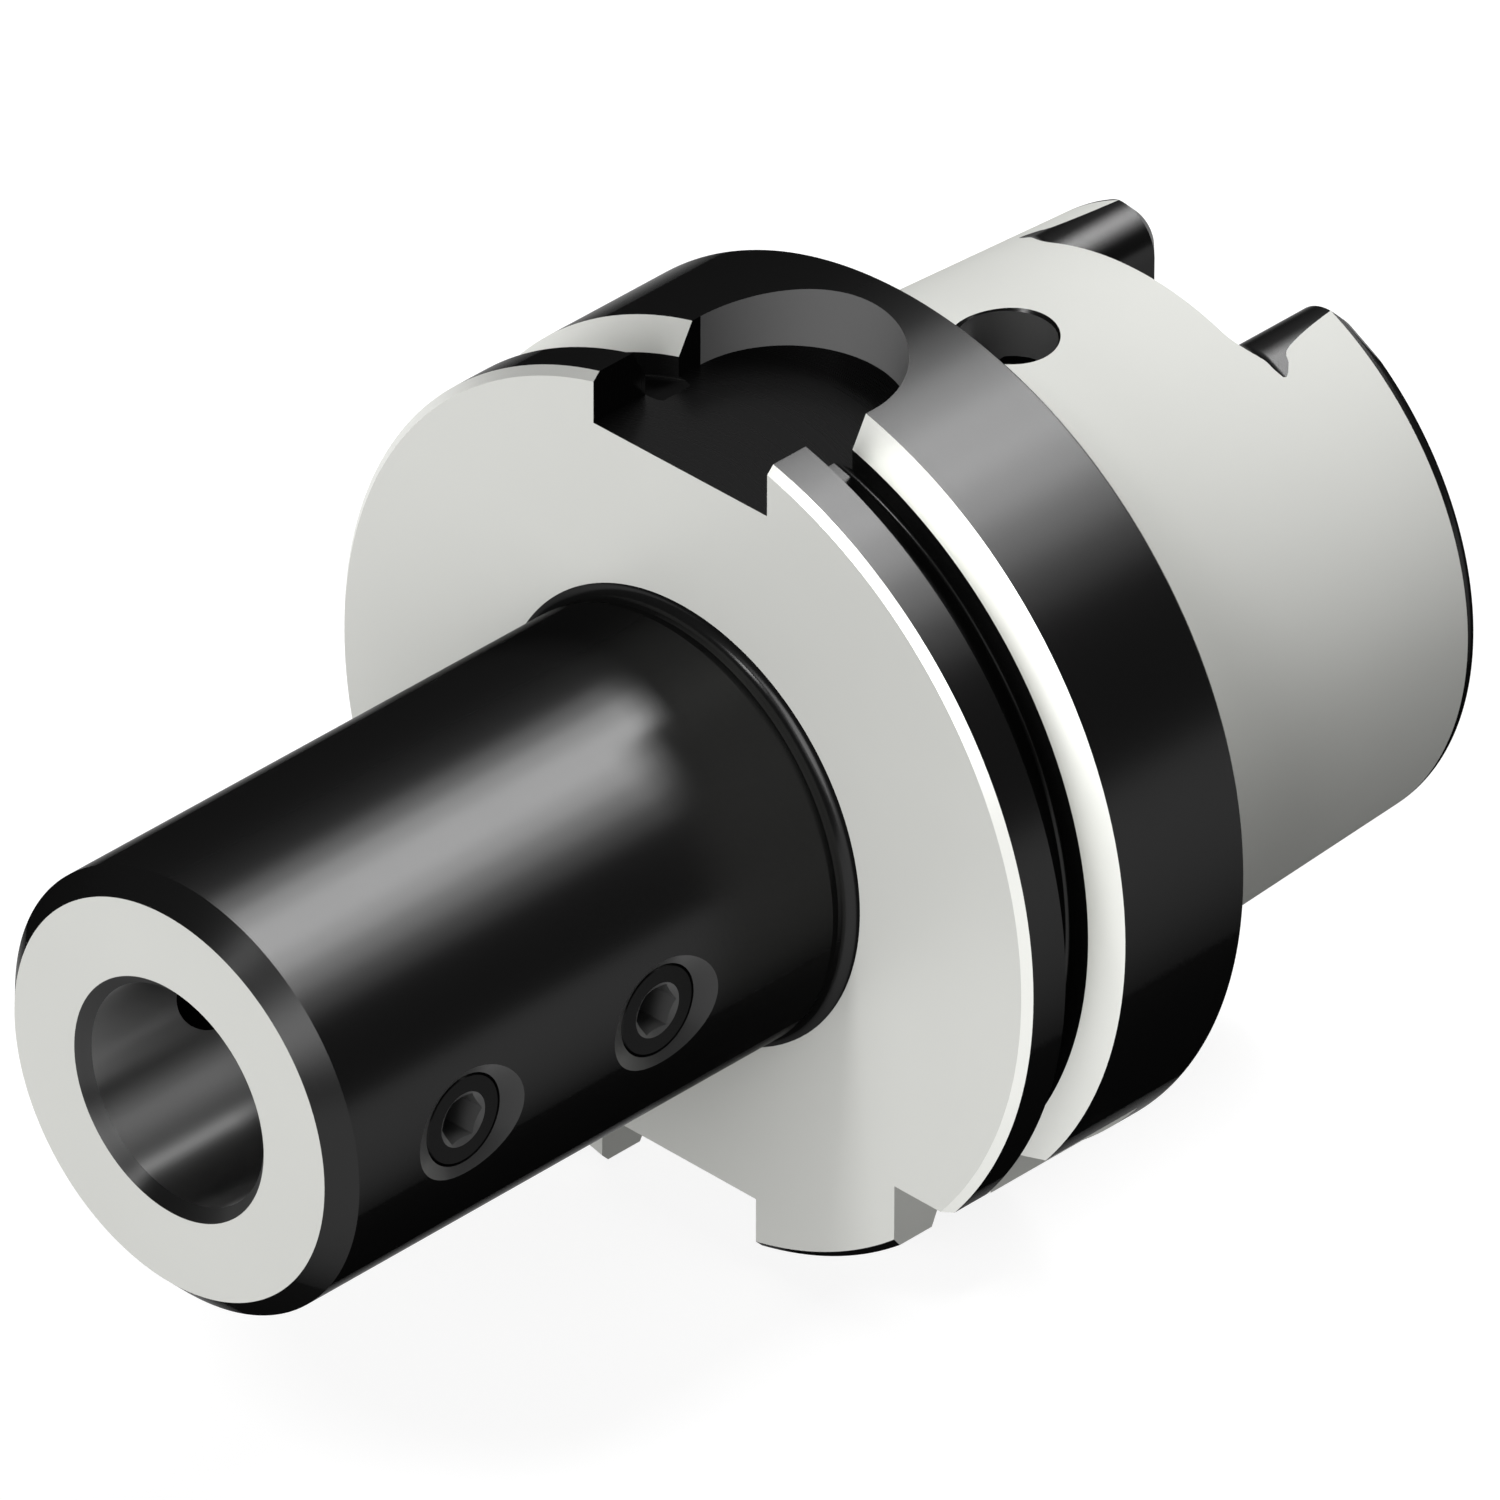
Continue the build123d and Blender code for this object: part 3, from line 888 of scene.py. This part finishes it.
def milled_marks(tree):
    """Arcs left by an end mill of radius R, 20 mm, that moved along the axis: lines along
    which the place less sqrt(R^2 - y^2) is constant."""
    mill_radius = 0.02
    where, along, across, _ = place_parts(tree)
    square = math_node(tree, "MULTIPLY", across, across)
    rest = math_node(tree, "SUBTRACT", mill_radius**2, square)
    bow = math_node(tree, "SQRT", math_node(tree, "MAXIMUM", rest, 0.0))
    way = math_node(tree, "SUBTRACT", along, bow)
    return line_noise(tree, way, per_metre=4500.0), soft_cloud(tree, where, scale=80.0)


def toned(colour, share):
    """A colour made lighter or darker by a factor."""
    return [part * share for part in colour]


def shared_settings():
    """Settings of ground, blackened and honed steel, and of dull greys painted lighter than the
    black oxide as sheen, that several finishes share.
    """
    colours = bpy.context.scene.adapter_colours
    depth = colours.mark_depth
    ground = dict(depth=depth, colour=tuple(colours.ground_steel), metal=colours.ground_metal,
                  roughness=colours.ground_roughness, spread=0.06, edge_tint=0.3, gloss=0.0)
    black = dict(depth=depth, colour=tuple(colours.black_oxide), metal=colours.black_metal,
                 roughness=colours.black_roughness, spread=0.05, edge_tint=0.4, gloss=0.0)
    # Dull settings for greys painted lighter than the black oxide, as sheen
    painted_sheen_settings = dict(depth=depth, metal=0.0, roughness=0.3, spread=0.06, edge_tint=1.0, gloss=0.2)
    honed = dict(depth=depth, metal=1.0, spread=0.05, edge_tint=0.4, gloss=0.5, stretch=1.0)
    return ground, black, painted_sheen_settings, honed


def body_finishes():
    """The holder's finishes, by the names that its surfaces use."""
    ground, black, painted_sheen_settings, honed = shared_settings()
    light, depth = ground["colour"], ground["depth"]
    rows = {
        "ground_face": dict(ground, marks=ground_face_marks),
        # Flange front face: the ground steel made 8% lighter, painted light that evens out the
        # shade the nose and lamps leave on it
        "ground_flange": dict(ground, marks=ground_face_marks, colour=toned(light, 1.08)),
        # Milled walls of the notch and lower keyway: the mill marks are real, and the colour 13%
        # below the ground steel is painted shade
        "ground_milled": dict(ground, marks=milled_marks, colour=toned(light, 0.87), spread=0.08),
        "ground_taper": dict(ground, marks=ground_round_marks, metal=0.0, roughness=0.5,
                             edge_tint=1.0),
        # Groove flanks and front chamfer: their gloss is real, and the colour 30% above the ground
        # steel is painted highlight
        "ground_flank": dict(ground, marks=ground_round_marks, colour=toned(light, 1.3),
                             metal=0.55, roughness=0.36, edge_tint=1.0, gloss=0.5),
        "black_turned": dict(black, marks=turned_marks, edge_tint=0.1),
        "black_slot": dict(black, marks=milled_marks, roughness=0.25, spread=0.06),
        "black_milled": dict(black, marks=milled_marks, depth=0.4 * depth, colour=(0.033,) * 3,
                             metal=1.0, roughness=0.27, spread=0.03, edge_tint=0.3, gloss=0.5),
        # Keyway's round end and key hole: a dull grey far lighter than the black oxide, painted
        # sheen for their highlight stripes
        "black_bored": dict(painted_sheen_settings, marks=bored_marks, colour=(0.14,) * 3),
        # Countersink: a dull black lighter than the oxide, painted sheen for its highlights
        "black_sink": dict(painted_sheen_settings, marks=turned_marks, colour=(0.045,) * 3, spread=0.05),
        # Tool bore and chamfer: the anisotropic honed reflection is real, and colours far above
        # the black oxide are painted sheen for the bore's streak
        "bore_honed": dict(honed, marks=turned_marks, colour=(0.34,) * 3, roughness=0.35),
        "bore_edge": dict(honed, marks=turned_marks, colour=(0.07,) * 3, roughness=0.45),
        "thread": dict(black, marks=ground_round_marks),
    }
    return {name: steel(name, **row) for name, row in rows.items()}


def screw_finishes():
    """The clamp screws' finishes."""
    _, black, painted_sheen_settings, _ = shared_settings()
    rows = {
        # Screws: the black oxide at half its colour, painted shade
        "black_screw": dict(black, marks=milled_marks, colour=toned(black["colour"], 0.5),
                            spread=0.06),
        # Hex socket: a dull grey far lighter than the black oxide, painted light for its lit floor
        # and walls
        "black_socket": dict(painted_sheen_settings, marks=milled_marks, colour=(0.09,) * 3),
    }
    return {name: steel(name, **row) for name, row in rows.items()}


class ADAPTER_OT_holder_body(bpy.types.Operator):
    """Turns and mills the holder's body"""

    bl_idname = "adapter.holder_body"
    bl_label = "Holder body"

    def execute(self, context):
        SURFACES.clear()
        body = turned_body()
        cutters = [
            keyway_cutter(UPPER_KEYWAY_HALF, 1, "black_milled"),
            # The lower keyway's walls take the same darker copy of the ground steel: painted shade
            keyway_cutter(LOWER_KEYWAY_HALF, -1, "ground_milled"),
            notch_cutter(),
            key_hole_cutter(),
            drive_slot_cutter(SLOT_DEPTHS[0], 1),
            drive_slot_cutter(SLOT_DEPTHS[1], -1),
        ]
        cutters += [screw_hole_cutter(place) for place in SCREW_PLACES]
        mesh = cut("holder", body, cutters, len(SURFACES))
        piece = dress(mesh, "holder_body_detail", body_finishes())
        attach(piece, "holder")
        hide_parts("holder_body")
        return {"FINISHED"}


class ADAPTER_OT_clamp_screws(bpy.types.Operator):
    """Makes the two headless clamp screws"""

    bl_idname = "adapter.clamp_screws"
    bl_label = "Clamp screws"

    def execute(self, context):
        depth = context.scene.adapter_sizes.screw_thread_depth / MM
        nodes = (("front_clamp_screw", "front_screw"), ("rear_clamp_screw", "rear_screw"))
        finishes = screw_finishes()
        for place, (node, body) in zip(SCREW_PLACES, nodes):
            SURFACES.clear()
            screw = threaded_screw(place, depth)
            cutters = [socket_cutter(place), socket_mouth_cutter(place)]
            mesh = cut(node, screw, cutters, len(SURFACES))
            piece = dress(mesh, node + "_detail", finishes)
            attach(piece, body)
            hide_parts(node)
        return {"FINISHED"}


def threaded_screw(place, depth):
    """Headless screw along Y: chamfered outer end, helical thread and a flat tip."""
    start = -SCREW_OUTER_END
    fade_in, fade_out = 0.5, 0.4
    rows = start + np.linspace(SCREW_THREAD_START, SCREW_THREAD_END, 84)
    outline = np.vstack((
        [(start, TIP_RADIUS), (start, SCREW_BODY_RADIUS - SCREW_EDGE)],
        [(start + SCREW_EDGE, SCREW_BODY_RADIUS)],
        np.stack((rows, np.full(len(rows), SCREW_BODY_RADIUS)), axis=1),
        [(start + SCREW_TIP_START, SCREW_BODY_RADIUS)],
        [(start + SCREW_LENGTH, SCREW_TIP_RADIUS), (start + SCREW_LENGTH, TIP_RADIUS)],
    ))

    def thread(along, radius, turn):
        """A wave along the screw that moves a pitch in each turn and fades out at both ends."""
        wave = thread_wave(along, turn, SCREW_PITCH)
        down = along - start
        fade = np.clip((down - SCREW_THREAD_START) / fade_in, 0, 1)
        fade *= np.clip((SCREW_THREAD_END - down) / fade_out, 0, 1)
        full = radius > (SCREW_BODY_RADIUS + SCREW_TIP_RADIUS) / 2
        return radius - np.where(full, depth * wave * fade, 0)

    origin = (place, 0, 0)
    places, quads = revolved(outline, "Y", origin, SMALL_STEPS, swell=thread)
    # All of the screw's surfaces take the darker copy of the black oxide: painted shade
    flat = surface("black_screw")
    edge = round_surface("black_screw", origin, Y_AXIS, COS_45, -COS_45)
    threaded = surface("black_screw", "soft")
    tip = round_surface("black_screw", origin, Y_AXIS, COS_45, COS_45)
    steps = [flat, edge] + [threaded] * (len(rows) + 1) + [tip, flat]
    numbers = np.repeat(steps, SMALL_STEPS)
    return capped(places, quads, SMALL_STEPS, flat, flat, numbers)


def socket_cutter(place):
    """Hexagon prism 4 mm across its flats and 4 mm deep, with corners along the tool axis."""
    corner = SOCKET_HALF_WIDTH / math.cos(math.radians(30))
    turn = np.radians(60 * np.arange(6))
    outline = np.stack((place + corner * np.cos(turn), corner * np.sin(turn)), axis=1)
    # The socket's faces take a grey painted light
    face = surface("black_socket")
    low, high = -SCREW_OUTER_END - OVERRUN, -SCREW_OUTER_END + SOCKET_DEPTH
    return prism(outline, "Y", low, high, [face] * 6, face)


def socket_mouth_cutter(place):
    """Shallow cone that opens the socket to 5 mm across at the screw's end."""
    depth = (SOCKET_MOUTH_RADIUS - TIP_RADIUS) / COUNTERSINK_SLOPE
    outline = np.array((
        (-SCREW_OUTER_END - OVERRUN, SOCKET_MOUTH_RADIUS + OVERRUN * COUNTERSINK_SLOPE),
        (-SCREW_OUTER_END + depth, TIP_RADIUS),
    ))
    origin = (place, 0, 0)
    places, quads = revolved(outline, "Y", origin, SMALL_STEPS)
    out, along = -math.cos(COUNTERSINK_LEAN), -math.sin(COUNTERSINK_LEAN)
    # The socket's mouth takes the same grey painted light
    cone = round_surface("black_socket", origin, Y_AXIS, out, along)
    end = surface("black_socket")
    return capped(places, quads, SMALL_STEPS, end, end, [cone] * SMALL_STEPS)


# Turn and shift of the view found for the photograph: the shift in mm from the centre of
# the flange's front face, and the turn away from a view along equal parts of three axes
VIEW_TURN = (-0.0321402205, -0.00740306286, -0.00176180103)
VIEW_SHIFT = (-5.82287051, 5.41306318, 2323.85932)
VIEW_ROWS = ((1, -1, 0), (-1, -1, -2), (1, 1, -1))
LENS = 675.85
SENSOR_WIDTH = 36.0
FARTHEST_SEEN = 20.0


def camera_matrix():
    """Place and turn of the camera, from the turn and shift of the view."""
    turn = Vector(VIEW_TURN)
    small = Matrix.Rotation(turn.length, 3, turn.normalized())
    view = small @ Matrix([Vector(row).normalized() for row in VIEW_ROWS])
    place = Vector((FRONT_FACE, 0, 0)) - view.transposed() @ Vector(VIEW_SHIFT)
    right, down, forward = view
    turned = Matrix((right, -down, -forward)).transposed().to_4x4()
    return Matrix.Translation(place * MM) @ turned


def add_camera():
    """Long lens camera at the photograph's viewing angle."""
    camera = bpy.data.cameras.new("camera")
    camera.lens = LENS
    camera.sensor_width = SENSOR_WIDTH
    camera.clip_end = FARTHEST_SEEN
    item = new_object(camera)
    item.matrix_world = camera_matrix()
    bpy.context.scene.camera = item


# An arc of lamps round the tool axis, behind and above the object, with the angle of each
# from +Y and its power in watts. It draws the streak along the nose.
KEY_ARC = ((68, 7.0), (80, 19.0), (92, 25.0), (104, 21.0), (116, 10.5), (128, 3.0))
KEY_LEAN = 0.565
KEY_SIZE = (0.62, 0.6)
LAMPS = (
    # name, direction towards the lamp, size across and along in metres, watts
    ("front", (-0.9, -0.2, 0.25), 1.6, 2.0, 57.0),
    ("high_front", (-0.62, 0.0, 0.78), 0.8, 0.42, 24.0),
    ("near_left", (-0.75, -0.5, 0.45), 1.5, 1.5, 10.0),
    ("back_right", (0.595, 0.585, 0.551), 2.0, 2.0, 7.0),
)
LAMP_DISTANCE = 3.0

# Floor, half its width in mm and its roughness
FLOOR_HALF_WIDTH = 3000.0
FLOOR_ROUGHNESS = 0.9


def add_lamp(name, way, across, along, power):
    """Soft rectangle of light at a fixed distance, facing the object, with one side along Y."""
    lamp = bpy.data.lights.new(name, "AREA")
    lamp.shape = "RECTANGLE"
    lamp.size, lamp.size_y = across, along
    lamp.energy = power
    back = Vector(way).normalized()
    side = Vector((0, 1, 0)).cross(back).normalized()
    turned = Matrix((side, back.cross(side), back)).transposed().to_4x4()
    new_object(lamp).matrix_world = Matrix.Translation(back * LAMP_DISTANCE) @ turned


def seen_directly(tree):
    """1 for rays from the eye, from a gloss or through glass, and 0 for the rest."""
    path = add_node(tree, "ShaderNodeLightPath").outputs
    first = math_node(tree, "MAXIMUM", path["Is Camera Ray"], path["Is Glossy Ray"])
    return math_node(tree, "MAXIMUM", first, path["Is Transmission Ray"])


def floor_material():
    """Pale floor: a lit colour that takes the shadow, plus a white that eye and gloss see."""
    studio = bpy.context.scene.adapter_studio
    material = bpy.data.materials.new("pale_floor")
    material.use_nodes = True
    tree = material.node_tree
    shader = tree.nodes["Principled BSDF"]
    shader.inputs["Base Color"].default_value = (*studio.floor_colour, 1.0)
    shader.inputs["Roughness"].default_value = FLOOR_ROUGHNESS
    shader.inputs["Specular IOR Level"].default_value = 0.0
    strength = math_node(tree, "MULTIPLY", seen_directly(tree), studio.background_strength)
    glow = add_node(tree, "ShaderNodeEmission", {"Strength": strength})
    both = add_node(tree, "ShaderNodeAddShader", {0: shader.outputs[0], 1: glow.outputs[0]})
    tree.links.new(both.outputs[0], tree.nodes["Material Output"].inputs[0])
    return material


def add_floor():
    """Flat floor under the flange."""
    signs = np.array(((-1, -1), (1, -1), (1, 1), (-1, 1)))
    corners = np.column_stack((FLOOR_HALF_WIDTH * signs, np.full(4, -FLANGE_RADIUS)))
    mesh = new_mesh("floor", corners, [(0, 1, 2, 3)])
    mesh.materials.append(floor_material())
    new_object(mesh)


def set_world():
    """Dim even surroundings."""
    world = bpy.data.worlds.new("studio")
    world.use_nodes = True
    bpy.context.scene.world = world
    background = world.node_tree.nodes["Background"]
    background.inputs["Color"].default_value = (1.0, 1.0, 1.0, 1.0)
    background.inputs["Strength"].default_value = bpy.context.scene.adapter_studio.even_light


class ADAPTER_OT_studio(bpy.types.Operator):
    """Sets up the camera, the floor, the lamps and the surroundings"""

    bl_idname = "adapter.studio"
    bl_label = "Studio"

    def execute(self, context):
        scene = context.scene
        scene.view_settings.view_transform = "Standard"
        add_camera()
        add_floor()
        set_world()
        level = scene.adapter_studio.lamp_level
        for name, way, across, along, power in LAMPS:
            add_lamp(name, way, across, along, power * level)
        reach = math.sqrt(1 - KEY_LEAN**2)
        for turn, power in KEY_ARC:
            angle = math.radians(turn)
            way = (KEY_LEAN, reach * math.cos(angle), reach * math.sin(angle))
            add_lamp(f"key_{turn}", way, *KEY_SIZE, power * level)
        return {"FINISHED"}


class ADAPTER_PT_panel(bpy.types.Panel):
    """Lists the adapter's pieces and settings"""

    bl_idname = "ADAPTER_PT_panel"
    bl_label = "Adapter"
    bl_space_type = "VIEW_3D"
    bl_region_type = "UI"
    bl_category = "Adapter"

    def draw(self, context):
        layout = self.layout
        for operator in OPERATORS:
            layout.operator(operator.bl_idname)
        for group in GROUPS:
            layout.label(text=group[1].__doc__)
            settings = getattr(context.scene, group[0])
            for key in group[1].__annotations__:
                layout.prop(settings, key)


GROUPS = (
    ("adapter_sizes", AdapterSizes),
    ("adapter_colours", AdapterColours),
    ("adapter_studio", AdapterStudio),
)
OPERATORS = (ADAPTER_OT_studio, ADAPTER_OT_holder_body, ADAPTER_OT_clamp_screws)


def register():
    """Registers the settings, the operators and the panel."""
    for name, group in GROUPS:
        bpy.utils.register_class(group)
        setattr(bpy.types.Scene, name, bpy.props.PointerProperty(type=group))
    for item in (*OPERATORS, ADAPTER_PT_panel):
        bpy.utils.register_class(item)


def unregister():
    """Removes what register added."""
    for item in (ADAPTER_PT_panel, *reversed(OPERATORS)):
        bpy.utils.unregister_class(item)
    for name, group in reversed(GROUPS):
        delattr(bpy.types.Scene, name)
        bpy.utils.unregister_class(group)


def main():
    """Registers everything, and makes the pieces and the studio."""
    register()
    bpy.ops.adapter.studio()
    bpy.ops.adapter.holder_body()
    bpy.ops.adapter.clamp_screws()


if __name__ == "__main__":
    main()
